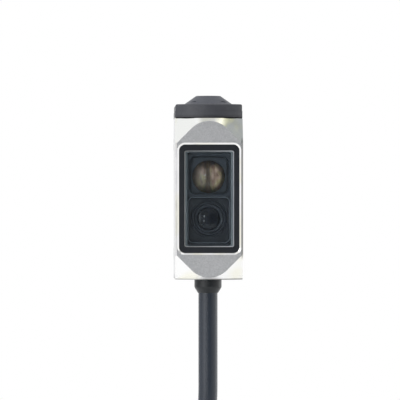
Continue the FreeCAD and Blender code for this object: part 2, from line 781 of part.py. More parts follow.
def make_setting_ring():
    """Conical mode selector: a hub turns in the cap's bore and a lip under the roof retains it."""
    base = f"({CAP_TOP} + Sizes.ring_gap)"
    lip_top = f"({ROOF} - 0.1)"
    bottom = f"({CAP_TOP} - Sizes.hub_drop)"
    bore = "(Sizes.spindle_radius + Sizes.fit_gap)"
    groove_low = f"({ROOF} + 0.35)"
    groove_high = f"({ROOF} + 1.05)"
    groove_root = "(Sizes.hub_radius - 0.55)"
    ring = turned("ring_turned", (
        (bore, bottom), ("Sizes.lip_radius", bottom), ("Sizes.lip_radius", lip_top),
        ("Sizes.hub_radius", lip_top), ("Sizes.hub_radius", groove_low), (groove_root, groove_low),
        (groove_root, groove_high), ("Sizes.hub_radius", groove_high), ("Sizes.hub_radius", base),
        ("Sizes.ring_base", base), ("Sizes.ring_top", f"{base} + Sizes.ring_height"),
        (bore, f"{base} + Sizes.ring_height"),
    ), y="Sizes.control_axis")
    scallops = []
    for index in range(4):
        angle = 45 + 90 * index
        scallops.append(cylinder(
            f"scallop_{index}", "1.6", "4",
            f"{math.cos(math.radians(angle)):.4f} * (Sizes.ring_base + 0.5)",
            f"Sizes.control_axis + {math.sin(math.radians(angle)):.4f} * (Sizes.ring_base + 0.5)",
            f"{base} + 0.45",
        ))
    pocket = cylinder(
        "magnet_pocket", "0.55", "1.3", 0, "Sizes.control_axis + 2.3", f"{bottom} - 0.3",
    )
    subpart(cut("ring_cut", ring, pocket, *scallops), "setting_ring")
    magnet = cylinder("magnet", "0.53", "0.95", 0, "Sizes.control_axis + 2.3", f"{bottom}")
    subpart(magnet, "ring_magnet")
    seal = torus(
        "ring_seal_ring", "Sizes.hub_radius - 0.28", "0.26", 0, "Sizes.control_axis", f"{ROOF} + 0.7",
    )
    subpart(seal, "ring_seal")


def make_adjuster():
    """Sensitivity trimmer: body on the cap's board, rotor, and the spindle that reaches the top."""
    centre = "Sizes.control_axis"
    body_top = f"({CAP_BOARD_TOP} + 2.0)"
    case = box(
        "trimmer_case", span(0, "5.6"), span(centre, "5.6"), (CAP_BOARD_TOP, body_top),
    )
    seat = cylinder("trimmer_seat", "2.05", "3", 0, centre, f"{body_top} - 1.2")
    subpart(cut("trimmer_cut", case, seat), "trimmer_body")
    rotor = cylinder("rotor_disc", "2.0", "1.0", 0, centre, f"{body_top} - 1.15")
    cross = box("rotor_slot", span(0, "0.72"), span(centre, "5"), (f"{body_top} - 0.75", f"{body_top} + 1"))
    subpart(cut("rotor_cut", rotor, cross), "trimmer_rotor")
    spindle_top = f"({CAP_TOP} + Sizes.ring_gap + Sizes.ring_height - 0.35)"
    groove = f"({ROOF} + 1.2)"
    shaft = turned("spindle_turned", (
        (0, f"{body_top} + 0.1"), ("Sizes.spindle_radius", f"{body_top} + 0.1"),
        ("Sizes.spindle_radius", groove), ("Sizes.spindle_radius - 0.45", groove),
        ("Sizes.spindle_radius - 0.45", f"{groove} + 0.6"), ("Sizes.spindle_radius", f"{groove} + 0.6"),
        ("Sizes.spindle_radius", spindle_top), (0, spindle_top),
    ), y=centre)
    blade = box(
        "spindle_blade", span(0, "0.68"), span(centre, "2.6"),
        (f"{body_top} - 0.7", f"{body_top} + 0.3"),
    )
    slot = box(
        "driver_slot", span(0, "0.6"), span(centre, "4"), (f"{spindle_top} - 0.8", f"{spindle_top} + 1"),
    )
    subpart(cut("spindle_cut", fuse("spindle_blank", shaft, blade), slot), "adjusting_spindle")
    seal = torus("spindle_seal_ring", "Sizes.spindle_radius - 0.22", "0.2", 0, centre, f"{groove} + 0.3")
    subpart(seal, "spindle_seal")


def make_indicators():
    """Two light guides flush with the roof, an LED under each, and the ring's position sensor."""
    row = "(Sizes.control_axis + Sizes.guide_setback)"
    lights = (("power", -1), ("output", 1))
    for label, sign in lights:
        place_x = f"{sign} * Sizes.guide_spacing / 2"
        led_top = f"({CAP_BOARD_TOP} + 0.7)"
        guide = cylinder(
            f"{label}_guide", "Sizes.guide_radius", f"{CAP_TOP} - {led_top} - 0.3",
            place_x, row, f"{led_top} + 0.3",
        )
        subpart(guide, f"{label}_light_guide")
        led = box(
            f"{label}_package", span(place_x, "1.6"), span(row, "0.8"), (CAP_BOARD_TOP, led_top),
        )
        subpart(led, f"{label}_led")
    hall = box(
        "hall_package", span(0, "1.6"), span(f"{row} - 2.4", "1.2"),
        (CAP_BOARD_TOP, f"{CAP_BOARD_TOP} + 1.0"),
    )
    subpart(hall, "hall_sensor")


# --------------------------------------------------------------------------- gland and cable


def make_gland():
    """Rubber-like gland under the housing, with its neck through the floor, and what holds the cable."""
    bottom = f"({BOTTOM} - Sizes.gland_length)"
    bore = "Sizes.cable_radius"
    gland = turned("gland_turned", (
        (bore, bottom), ("Sizes.gland_radius - Sizes.gland_inset", bottom),
        ("Sizes.gland_radius", f"{bottom} + Sizes.gland_taper"), ("Sizes.gland_radius", BOTTOM),
        ("Sizes.neck_radius", BOTTOM), ("Sizes.neck_radius", FLOOR), (bore, FLOOR),
    ), y="Sizes.cable_axis")
    doc.recompute()
    shoulder = number(f"{bottom} + Sizes.gland_taper")
    gland = rounded(
        "gland_rounded", gland, "Sizes.gland_round", lambda edge: at_level(edge, shoulder),
    )
    subpart(gland, "cable_gland")
    for node, radius, low_end, high_end in (
        ("cable_seal", "3.3", FLOOR, f"{FLOOR} + 1.0"),
        ("crimp_ring", "2.75", f"{FLOOR} + 1.0", f"{FLOOR} + 2.2"),
    ):
        outer_ring = cylinder(
            f"{node}_blank", radius, f"({high_end}) - ({low_end})", 0, "Sizes.cable_axis", low_end,
        )
        hole = cylinder(f"{node}_bore", bore, "4", 0, "Sizes.cable_axis", f"{low_end} - 1")
        subpart(cut(f"{node}_cut", outer_ring, hole), node)
    jacket = cylinder(
        "cable_jacket", bore, f"{FLOOR} + 2.4 - {bottom}", 0, "Sizes.cable_axis", bottom,
    )
    subpart(jacket, "cable_end")


CORE_COLOURS = ("brown", "white", "blue", "black")


def swept(name, points, radius, bend_share=0.45):
    """A round tube along straight runs joined by tangent arcs, as one solid."""
    edges = []
    last = points[0]
    bends = []
    for before, corner, after in zip(points, points[1:], points[2:]):
        arriving = (corner - before).normalize()
        leaving = (after - corner).normalize()
        half_turn = arriving.getAngle(leaving) / 2
        shorter = min((corner - before).Length, (after - corner).Length)
        setback = bend_share * shorter
        bends.append(setback / math.tan(half_turn))
        start = corner - arriving * setback
        end = corner + leaving * setback
        inward = (leaving - arriving).normalize()
        depth = bends[-1] / math.cos(half_turn) - bends[-1]
        edges.append(Part.LineSegment(last, start).toShape())
        edges.append(Part.Arc(start, corner + inward * depth, end).toShape())
        last = end
    edges.append(Part.LineSegment(last, points[-1]).toShape())
    path = Part.Wire(edges)
    section = Part.Wire(Part.Circle(points[0], points[1] - points[0], radius).toShape())
    tube = path.makePipeShell([section], True, False)
    print(
        f"{name}: length {path.Length:.1f} mm, radii "
        + " ".join(f"{bend:.1f}" for bend in bends)
        + f", volume / (section x length) {tube.Volume / (math.pi * radius**2 * path.Length):.4f}"
    )
    return tube


def add_tube(node, points, radius):
    """A sub-part that is a swept tube; its points are plain positions."""
    feature = doc.addObject("Part::Feature", node + "_tube")
    feature.Shape = swept(node, [Vector(*point) for point in points], radius)
    feature.Placement = FreeCAD.Placement()
    subpart(feature, node)


def make_inner_cores():
    """Four stripped cores from the cable's end to solder pads at the foot of the main board."""
    axis = number("Sizes.cable_axis")
    start = number(f"{FLOOR} + 2.4")
    pad = number(BOARD_FACE)
    radius = number("Sizes.core_radius")
    for colour, offset, drop in zip(CORE_COLOURS, (-3.9, -1.3, 1.3, 3.9), (0, 0.35, 0.35, 0)):
        near = -0.62 if abs(offset) > 2 else 0.62
        base = (math.copysign(0.62, offset), axis + near, start)
        points = (
            base,
            (base[0], base[1], start + 1.1),
            (offset, (axis + near + pad) / 2, start + 2.1 - drop),
            (offset, pad, start + 2.1 - drop),
        )
        add_tube(f"inner_core_{colour}", points, radius * 0.6)


# The cable's route outside the housing, in millimetres, set by hand. It leaves the gland straight
# down, bends back and joins the coil on its first column; the tail leaves beside the last column.
LEAD_ROUTE = (
    (0.0, -12.0, -21.55),
    (0.0, -12.0, -47.5),
    (-1.1, -9.8, -56.0),
    (-3.6, -5.0, -63.2),
    (-6.8, 2.4, -67.6),
)
TAIL_ROUTE = (
    (6.9, -7.4, -62.4),
    (8.5, 1.6, -64.8),
    (8.7, 10.2, -71.6),
    (8.6, 15.4, -81.2),
    (8.6, 17.2, -92.4),
    (8.3, 16.4, -104.6),
    (7.8, 17.0, -117.2),
    (7.9, 16.3, -129.0),
)
TAIL_CORES = {
    "brown": ((9.0, 16.9, -129.0), (9.3, 17.3, -135.0), (11.0, 19.0, -142.0), (12.6, 20.0, -149.5)),
    "white": ((6.8, 16.9, -129.0), (6.5, 17.3, -135.0), (5.3, 18.9, -142.2), (5.5, 21.2, -149.0)),
    "blue": ((9.0, 15.7, -129.0), (9.3, 15.2, -135.0), (10.4, 13.0, -142.0), (10.2, 11.0, -149.3)),
    "black": ((6.8, 15.7, -129.0), (6.5, 15.2, -135.0), (4.6, 13.7, -142.0), (3.4, 12.9, -149.6)),
}


def make_coil():
    """The coil as the closed ring that its turns fill, standing in the YZ plane."""
    step = "(2 * Sizes.cable_radius)"
    outer = f"(Sizes.coil_middle_radius + Sizes.coil_layers * {step} / 2)"
    inner = f"(Sizes.coil_middle_radius - Sizes.coil_layers * {step} / 2)"
    start = f"(-2.5 * {step})"
    place_at = (start, "Sizes.cable_axis", "Sizes.coil_axis_level", "X")
    ring = cylinder("coil_blank", outer, f"Sizes.coil_columns * {step}", *place_at)
    hole = cylinder("coil_bore", inner, "40", "-20", *place_at[1:])
    ring = cut("coil_ring", ring, hole)
    doc.recompute()
    ring = rounded(
        "coil_rounded", ring, "1.8", lambda edge: edge.Curve.TypeId == "Part::GeomCircle",
    )
    subpart(ring, "cable_coil")


def make_ties():
    """Two ties round the coil's bundle, at the front and at the back of the coil."""
    step = number("2 * Sizes.cable_radius")
    middle = number("Sizes.coil_middle_radius")
    thick = number("Sizes.tie_thick")
    for node, sign, columns in (("tie_front", -1, 4), ("tie_back", 1, 5)):
        low_x = -2.5 * step
        width = columns * step
        centre = f"Sizes.cable_axis + {sign * middle:.2f}"
        heights = span("Sizes.coil_axis_level", "Sizes.tie_width")
        outer = box(
            f"{node}_outer", (f"{low_x - thick:.2f}", f"{low_x + width + thick:.2f}"),
            span(centre, f"{3 * step + 2 * thick:.2f}"), heights,
        )
        inner = box(
            f"{node}_inner", (f"{low_x:.2f}", f"{low_x + width:.2f}"), span(centre, f"{3 * step:.2f}"),
            span("Sizes.coil_axis_level", "Sizes.tie_width + 2"),
        )
        doc.recompute()
        outer = rounded(f"{node}_smooth", outer, "1.6", lambda edge: runs_along(edge, "Z"))
        loop = cut(f"{node}_loop", outer, inner)
        head_centre = f"{centre} + {sign * (1.5 * step + thick + 0.9):.2f}"
        head = box(
            f"{node}_head", span("-2", "4.4"), span(head_centre, "2.2"),
            span("Sizes.coil_axis_level", "Sizes.tie_width + 0.8"),
        )
        subpart(fuse(f"{node}_whole", loop, head), node)


def make_cable():
    """The free cable: lead, coil, tail with stripped cores, and the ties."""
    radius = number("Sizes.cable_radius")
    add_tube("cable_lead", LEAD_ROUTE, radius)
    make_coil()
    add_tube("cable_tail", TAIL_ROUTE, radius)
    for colour, points in TAIL_CORES.items():
        add_tube(f"tail_core_{colour}", points, number("Sizes.core_radius"))
    make_ties()


# --------------------------------------------------------------------------- build and write


def check_document():
    """Stops when any feature failed or any sub-part is empty or invalid."""
    for feature in doc.Objects:
        if "Invalid" in feature.State or "Error" in feature.State:
            raise RuntimeError(f"{feature.Name} ({feature.Label}) failed: {feature.State}")
    for feature in subparts:
        shape = feature.Shape
        if shape.isNull() or not shape.isValid() or not shape.Solids:
            raise RuntimeError(f"{feature.Label} has no valid solid")


def main():
    """Builds every sub-part and writes one STEP file for each."""
    make_housing()
    make_window()
    make_optics()
    make_boards()
    make_components()
    make_cap()
    make_setting_ring()
    make_adjuster()
    make_indicators()
    make_gland()
    make_inner_cores()
    make_cable()
    doc.recompute()
    check_document()
    os.makedirs("parts", exist_ok=True)
    for feature in subparts:
        feature.Shape.exportStep(f"parts/{feature.Label}.step")
        print(f"{feature.Label}: {len(feature.Shape.Solids)} solid(s), {feature.Shape.Volume:.2f} mm3")


main()
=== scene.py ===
import json
import math

import bmesh
import bpy
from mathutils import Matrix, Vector


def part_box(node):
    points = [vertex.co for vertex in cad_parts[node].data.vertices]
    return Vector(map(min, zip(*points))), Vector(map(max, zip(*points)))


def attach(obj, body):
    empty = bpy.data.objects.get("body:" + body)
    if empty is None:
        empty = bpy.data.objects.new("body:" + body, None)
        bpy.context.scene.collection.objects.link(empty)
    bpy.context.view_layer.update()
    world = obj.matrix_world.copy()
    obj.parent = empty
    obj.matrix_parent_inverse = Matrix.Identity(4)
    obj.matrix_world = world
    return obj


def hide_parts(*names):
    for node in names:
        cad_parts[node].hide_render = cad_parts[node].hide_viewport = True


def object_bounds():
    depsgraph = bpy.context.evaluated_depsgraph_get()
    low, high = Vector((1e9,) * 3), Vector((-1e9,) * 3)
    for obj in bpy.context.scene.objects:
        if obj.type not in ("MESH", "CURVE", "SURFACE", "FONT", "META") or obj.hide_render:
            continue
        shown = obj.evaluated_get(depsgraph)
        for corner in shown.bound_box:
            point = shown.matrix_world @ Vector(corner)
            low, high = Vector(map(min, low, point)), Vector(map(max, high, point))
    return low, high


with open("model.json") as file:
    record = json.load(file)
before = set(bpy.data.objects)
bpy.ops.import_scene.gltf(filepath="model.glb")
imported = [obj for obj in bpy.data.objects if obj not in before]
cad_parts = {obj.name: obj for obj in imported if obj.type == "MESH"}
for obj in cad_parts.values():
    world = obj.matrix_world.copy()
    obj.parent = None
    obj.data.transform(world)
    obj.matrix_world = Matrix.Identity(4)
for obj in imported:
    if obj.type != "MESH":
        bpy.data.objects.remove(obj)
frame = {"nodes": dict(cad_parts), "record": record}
cad_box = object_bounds()

MM = 0.001
SENSOR = "sensor"


def mm(*values):
    """A position given in millimetres, as metres."""
    return Vector([value * MM for value in values])


# --------------------------------------------------------------------------- camera

housing_low, housing_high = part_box("housing")
FACE = housing_low.y
FOOT = housing_low.z
ROOF = housing_high.z
CAMERA_DISTANCE = 0.85
CAMERA_YAW = math.radians(1.25)
AIM = Vector((-2.11 * MM, FACE, -0.17 * MM))
FIELD_WIDTH = 90.84 * MM
SENSOR_WIDTH = 36.0
NEAREST = 10 * MM


def make_camera():
    """Long lens well in front of the optical face, a little to its left, held level."""
    data = bpy.data.cameras.new("camera")
    data.sensor_width = SENSOR_WIDTH
    data.lens = SENSOR_WIDTH * CAMERA_DISTANCE / FIELD_WIDTH
    data.clip_start = NEAREST
    camera = bpy.data.objects.new("camera", data)
    bpy.context.scene.collection.objects.link(camera)
    away = Vector((-math.sin(CAMERA_YAW), -math.cos(CAMERA_YAW), 0))
    camera.location = AIM + away * CAMERA_DISTANCE
    camera.rotation_euler = (-away).to_track_quat("-Z", "Y").to_euler()
    bpy.context.scene.camera = camera


make_camera()

# --------------------------------------------------------------------------- cable route

CABLE_RADIUS = 2.2 * MM
CABLE_STEP = 2 * CABLE_RADIUS
COIL_RADIUS = 24.9 * MM
COIL_CENTRE = mm(0, -12, -92.5)
COIL_START = math.radians(25.8)
COIL_TURNS = 12
POINTS_PER_TURN = 16
LAYERS = 3
MIDDLE_LAYER = (LAYERS - 1) / 2
MIDDLE_COLUMN = COIL_TURNS / LAYERS / 2
CHANGE_SHARE = 0.5  # share of a turn over which the cable moves to its next place
LEAD_ROUTE = [
    mm(0.0, -12.0, -21.55),
    mm(0.0, -12.0, -38.5),
    mm(0.0, -12.0, -47.5),
    mm(-1.1, -9.8, -56.0),
    mm(-3.6, -5.0, -63.2),
]
TAIL_ROUTE = [
    mm(8.7, 10.2, -71.6),
    mm(8.6, 15.4, -81.2),
    mm(8.6, 17.2, -92.4),
    mm(8.3, 16.4, -104.6),
    mm(7.8, 17.0, -117.2),
    mm(7.9, 16.3, -129.0),
]


def smooth(share):
    """Eases from 0 to 1."""
    share = min(max(share, 0.0), 1.0)
    return share * share * (3 - 2 * share)


def coil_slot(turn):
    """Column and layer of one turn: each column is filled, then the next in the opposite sense."""
    column, place = divmod(turn, LAYERS)
    layer = LAYERS - 1 - place if column % 2 == 0 else place
    return column, layer


def coil_point(progress):
    """The control point of the coil that lies this many turns after its start."""
    turn = min(int(progress), COIL_TURNS - 1)
    share = progress - turn
    column, layer = coil_slot(turn)
    next_column, next_layer = coil_slot(turn + 1)
    change = smooth((share - 1 + CHANGE_SHARE) / CHANGE_SHARE)
    if next_column == column:
        across = column
        out = layer + (next_layer - layer) * change
    else:
        side = 1 if layer > 0 else -1
        across = column + (1 - math.cos(math.pi * change)) / 2
        out = layer + side * math.sin(math.pi * change) / 2
    # The spline runs a little inside its control points, so they stand further out by this share.
    shrink = 0.75 + 0.25 * math.cos(2 * math.pi / POINTS_PER_TURN)
    radius = (COIL_RADIUS + (out - MIDDLE_LAYER) * CABLE_STEP) / shrink
    angle = COIL_START + 2 * math.pi * progress
    return COIL_CENTRE + Vector((
        (across - MIDDLE_COLUMN) * CABLE_STEP, radius * math.sin(angle), radius * math.cos(angle),
    ))


def nurbs(name, points):
    """A smooth open curve with these control points, each of which carries the cable's radius."""
    data = bpy.data.curves.new(name, "CURVE")
    data.dimensions = "3D"
    spline = data.splines.new("NURBS")
    spline.points.add(len(points) - 1)
    for point, place in zip(spline.points, points):
        point.co = (*place, 1.0)
        point.radius = CABLE_RADIUS
    spline.order_u = 3
    spline.use_endpoint_u = True
    curve = bpy.data.objects.new(name, data)
    bpy.context.scene.collection.objects.link(curve)
    return curve


def make_cable():
    """The whole free cable as one curve: lead, coil and tail."""
    steps = COIL_TURNS * POINTS_PER_TURN
    coil = [coil_point(step / POINTS_PER_TURN) for step in range(steps + 1)]
    cable = nurbs("cable", LEAD_ROUTE + coil + TAIL_ROUTE)
    cable.data.bevel_depth = 1.0  # times the radius of the control points
    cable.data.bevel_resolution = 8
    cable.data.use_fill_caps = True
    cable.data.resolution_u = 6
    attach(cable, SENSOR)
    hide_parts("cable_lead", "cable_coil", "cable_tail")
    return cable


cable = make_cable()

# --------------------------------------------------------------------------- materials


class Shader:
    """A material's node tree, with short ways to add a node and to link it."""

    def __init__(self, name, **settings):
        self.material = bpy.data.materials.new(name)
        self.material.use_nodes = True
        self.tree = self.material.node_tree
        self.tree.nodes.clear()
        self.output = self.add("ShaderNodeOutputMaterial")
        self.surface = self.add("ShaderNodeBsdfPrincipled")
        self.link(self.surface.outputs["BSDF"], self.output.inputs["Surface"])
        self.place = self.add("ShaderNodeTexCoord").outputs["Object"]
        self.relief = None
        for socket, value in settings.items():
            self.surface.inputs[socket.replace("_", " ")].default_value = value

    def add(self, kind, **settings):
        """A node of this kind with these properties."""
        node = self.tree.nodes.new(kind)
        for name, value in settings.items():
            setattr(node, name, value)
        return node

    def link(self, source, target):
        """Joins an output to an input."""
        self.tree.links.new(source, target)

    def axes(self, vector):
        """The three outputs X, Y and Z of a vector."""
        node = self.add("ShaderNodeSeparateXYZ")
        self.link(vector, node.inputs[0])
        return node.outputs

    def normal(self):
        """The surface's own direction, split into its axes."""
        return self.axes(self.add("ShaderNodeNewGeometry").outputs["Normal"])

    def math(self, operation, first, second=None, clamp=False):
        """One math step on sockets or numbers."""
        node = self.add("ShaderNodeMath", operation=operation, use_clamp=clamp)
        for socket, value in zip(node.inputs, (first, second)):
            if isinstance(value, (int, float)):
                socket.default_value = value
            elif value is not None:
                self.link(value, socket)
        return node.outputs[0]

    def stretched(self, scale):
        """The object's own coordinates with each axis scaled."""
        node = self.add("ShaderNodeMapping")
        node.inputs["Scale"].default_value = scale
        self.link(self.place, node.inputs["Vector"])
        return node.outputs[0]

    def noise(self, size, detail=3.0, roughness=0.55, stretch=(1, 1, 1)):
        """Noise whose features are about size metres across."""
        node = self.add("ShaderNodeTexNoise")
        node.inputs["Scale"].default_value = 1 / size
        node.inputs["Detail"].default_value = detail
        node.inputs["Roughness"].default_value = roughness
        self.link(self.stretched(stretch), node.inputs["Vector"])
        return node.outputs["Fac"]

    def spots(self, size):
        """Distance to scattered points about size metres apart."""
        node = self.add("ShaderNodeTexVoronoi")
        node.inputs["Scale"].default_value = 1 / size
        self.link(self.place, node.inputs["Vector"])
        return node.outputs["Distance"]

    def spread(self, value, low, high, start=0.3, end=0.7):
        """Maps start..end of a value to low..high."""
        node = self.add("ShaderNodeMapRange")
        self.link(value, node.inputs["Value"])
        node.inputs["From Min"].default_value = start
        node.inputs["From Max"].default_value = end
        node.inputs["To Min"].default_value = low
        node.inputs["To Max"].default_value = high
        return node.outputs["Result"]

    def mix(self, factor, first, second):
        """A colour between two, each a socket or a tuple."""
        node = self.add("ShaderNodeMix", data_type="RGBA")
        self.link(factor, node.inputs["Factor"])
        colour_inputs = [socket for socket in node.inputs if socket.type == "RGBA"]
        for socket, value in zip(colour_inputs, (first, second)):
            if isinstance(value, tuple):
                socket.default_value = (*value, 1.0)
            else:
                self.link(value, socket)
        return next(socket for socket in node.outputs if socket.type == "RGBA")

    def blend(self, factor, first, second):
        """A number between two sockets."""
        node = self.add("ShaderNodeMix", data_type="FLOAT")
        self.link(factor, node.inputs[0])
        self.link(first, node.inputs[2])
        self.link(second, node.inputs[3])
        return node.outputs[0]

    def colour(self, value):
        """Drives the base colour."""
        self.link(value, self.surface.inputs["Base Color"])

    def roughness(self, value):
        """Drives the roughness."""
        self.link(value, self.surface.inputs["Roughness"])

    def bump(self, height, depth, strength=1.0):
        """Adds relief of about depth metres on top of any relief before it."""
        node = self.add("ShaderNodeBump")
        node.inputs["Strength"].default_value = strength
        node.inputs["Distance"].default_value = depth
        self.link(height, node.inputs["Height"])
        if self.relief is not None:
            self.link(self.relief, node.inputs["Normal"])
        self.relief = node.outputs["Normal"]
        self.link(self.relief, self.surface.inputs["Normal"])


def moulded_finish(shader, roughness):
    """Uneven gloss about this roughness, over a fine grain."""
    shader.roughness(shader.spread(shader.noise(0.6 * MM), roughness - 0.06, roughness + 0.07))
    shader.bump(shader.noise(0.12 * MM, detail=5), 0.004 * MM, 0.6)


def moulded(name, colour, lighter, roughness, **settings):
    """Moulded plastic: slight cloudiness in colour and gloss over a fine grain."""
    shader = Shader(name, **settings)
    shader.colour(shader.mix(shader.noise(1.8 * MM), colour, lighter))
    moulded_finish(shader, roughness)
    return shader.material


def elastomer_finish(shader):
    """Dull and finely pitted."""
    shader.roughness(shader.spread(shader.noise(0.4 * MM), 0.6, 0.78))
    shader.bump(shader.spots(0.15 * MM), 0.004 * MM, 0.4)


def make_rubber():
    """Black elastomer with a soft bloom."""
    shader = Shader("black_rubber")
    shader.colour(shader.mix(shader.noise(1.2 * MM), (0.012, 0.012, 0.012), (0.03, 0.03, 0.03)))
    elastomer_finish(shader)
    return shader.material


def plated(name, colour, dull, roughness=0.25):
    """Plated metal with faint tarnish and fine scratches."""
    shader = Shader(name, Metallic=1.0)
    shader.colour(shader.mix(shader.noise(0.7 * MM), colour, dull))
    shader.roughness(shader.spread(shader.noise(0.3 * MM), roughness - 0.08, roughness + 0.12))
    shader.bump(shader.noise(0.08 * MM, detail=4), 0.002 * MM, 0.5)
    return shader.material


FLAT = (0.9, 0.985)  # a face counts as square to an axis when its direction's share passes these


class SteelZones:
    """Where each finish of the housing lies, and where shade is painted on it, as masks from 0 to 1."""

    def __init__(self, shader):
        normal = shader.normal()
        place = shader.axes(shader.place)
        self.front = shader.spread(shader.math("MULTIPLY", normal["Y"], -1.0), 0.0, 1.0, *FLAT)
        across = shader.math(
            "MAXIMUM", shader.math("ABSOLUTE", normal["X"]), shader.math("ABSOLUTE", normal["Z"]),
        )
        self.side = shader.spread(shader.math("MAXIMUM", across, normal["Y"]), 0.0, 1.0, *FLAT)
        self.facet = shader.math("SUBTRACT", 1.0, shader.math("MAXIMUM", self.front, self.side))
        self.low = shader.spread(place["Z"], 1.0, 0.0, FOOT + 0.4 * MM, FOOT + 1.2 * MM)
        # painted shade along the foot, darker towards the right
        self.foot = shader.spread(place["Z"], 1.0, 0.0, FOOT + 0.1 * MM, FOOT + 0.3 * MM)
        self.rightward = shader.spread(place["X"], 0.0, 1.0, -3 * MM, 4 * MM)
        # painted shade: a dark line down the right-hand front edge, away from the top and bottom ends
        corner = shader.spread(place["X"], 0.0, 1.0, 7.2 * MM, 7.35 * MM)
        above_foot = shader.spread(place["Z"], 0.0, 1.0, FOOT + 4.5 * MM, FOOT + 6.0 * MM)
        below_roof = shader.spread(place["Z"], 1.0, 0.0, ROOF - 6.0 * MM, ROOF - 4.5 * MM)
        middle = shader.math("MULTIPLY", above_foot, below_roof)
        off_side = shader.math("SUBTRACT", corner, self.side, clamp=True)
        self.painted_dark_right_edge = shader.math("MULTIPLY", off_side, middle)


def make_stainless():
    """Stainless steel: front face blasted, rim and facets polished, sides brushed, rougher near the
    foot; shade painted along the foot and the right-hand front edge.
    """
    shader = Shader("stainless", Metallic=1.0)
    zones = SteelZones(shader)
    grains = shader.noise(0.35 * MM, detail=6, roughness=0.8)
    clouds = shader.noise(4.0 * MM, detail=2)
    lines = shader.noise(0.9 * MM, detail=6, roughness=0.75, stretch=(14, 14, 0.5))
    straw = shader.spread(shader.noise(7.0 * MM, detail=1), 0.0, 1.0, 0.5, 0.62)

    blasted = shader.mix(shader.spread(grains, 0, 1), (0.385, 0.39, 0.40), (0.59, 0.595, 0.605))
    polished = shader.mix(straw, (0.90, 0.90, 0.90), (0.87, 0.86, 0.78))
    brushed = shader.mix(shader.spread(lines, 0, 1), (0.44, 0.445, 0.455), (0.60, 0.605, 0.615))
    steel = shader.mix(zones.front, shader.mix(zones.side, polished, brushed), blasted)
    # painted shade: the dark line down the right-hand front edge
    steel = shader.mix(zones.painted_dark_right_edge, steel, (0.25, 0.25, 0.245))
    # painted shade along the foot: mid grey on the left, near black on the right
    shade = shader.mix(zones.rightward, (0.42, 0.42, 0.41), (0.05, 0.05, 0.05))
    shader.colour(shader.mix(zones.foot, steel, shade))

    rough_blasted = shader.spread(clouds, 0.42, 0.52)
    rough_polished = shader.spread(clouds, 0.07, 0.14)
    rough_brushed = shader.spread(lines, 0.16, 0.3)
    rough = shader.blend(zones.side, rough_polished, rough_brushed)
    rough = shader.blend(zones.low, rough, rough_blasted)
    shader.roughness(shader.blend(zones.front, rough, rough_blasted))

    pitted = shader.math("ADD", grains, shader.spots(0.16 * MM))
    shader.bump(shader.math("MULTIPLY", pitted, zones.front), 0.006 * MM, 0.55)
    shader.bump(shader.math("MULTIPLY", lines, zones.side), 0.002 * MM, 0.4)
    waves = shader.noise(3.0 * MM, detail=1)
    shader.bump(shader.math("MULTIPLY", waves, zones.facet), 0.25 * MM, 0.5)
    return shader.material


def make_clear(name, tint, ior, cloud):
    """Clear moulded optic: see-through with a faint tint, and a mirror-like sheen on its surface."""
    shader = Shader(name)
    clear = shader.add("ShaderNodeBsdfTransparent")
    clear.inputs["Color"].default_value = (*tint, 1.0)
    gloss = shader.add("ShaderNodeBsdfGlossy")
    shader.link(shader.spread(shader.noise(cloud), 0.02, 0.08), gloss.inputs["Roughness"])
    shader.bump(shader.noise(2 * cloud, detail=1), 0.02 * MM, 0.3)
    shader.link(shader.relief, gloss.inputs["Normal"])
    fresnel = shader.add("ShaderNodeFresnel")
    fresnel.inputs["IOR"].default_value = ior
    blend = shader.add("ShaderNodeMixShader")
    shader.link(fresnel.outputs[0], blend.inputs[0])
    shader.link(clear.outputs[0], blend.inputs[1])
    shader.link(gloss.outputs[0], blend.inputs[2])
    shader.link(blend.outputs[0], shader.output.inputs["Surface"])
    shader.tree.nodes.remove(shader.surface)
    return shader.material


def make_ground_edge():
    """The pane's ground edge, a pale line with a painted highlight that makes it brighter on its right.
    """
    shader = Shader("pane_edge")
    across = shader.axes(shader.place)["X"]
    # painted highlight: the edge's colour grows brighter towards the right
    rightward = shader.spread(across, 0.0, 1.0, -5.5 * MM, 5.5 * MM)
    patches = shader.noise(0.5 * MM)
    left = shader.mix(patches, (0.20, 0.21, 0.215), (0.30, 0.31, 0.315))
    right = shader.mix(patches, (0.42, 0.44, 0.47), (0.66, 0.68, 0.72))
    shader.colour(shader.mix(rightward, left, right))
    shader.roughness(shader.spread(shader.noise(0.1 * MM), 0.4, 0.6))
    shader.bump(shader.noise(0.05 * MM), 0.004 * MM, 0.5)
    return shader.material


def make_board():
    """Green solder mask with faint copper tracks beneath."""
    shader = Shader("board_green")
    tracks = shader.add("ShaderNodeTexBrick")
    tracks.inputs["Scale"].default_value = 1 / (1.6 * MM)
    tracks.inputs["Mortar Size"].default_value = 0.06
    shader.link(shader.place, tracks.inputs["Vector"])
    weave = shader.mix(shader.noise(0.5 * MM), (0.02, 0.13, 0.05), (0.035, 0.19, 0.08))
    shader.colour(shader.mix(tracks.outputs["Fac"], weave, (0.06, 0.27, 0.11)))
    shader.roughness(shader.spread(shader.noise(0.3 * MM), 0.3, 0.45))
    shader.bump(tracks.outputs["Fac"], 0.01 * MM, 0.3)
    return shader.material


BEVEL_FACING = 0.707  # how far a 45 degree bevel faces forwards


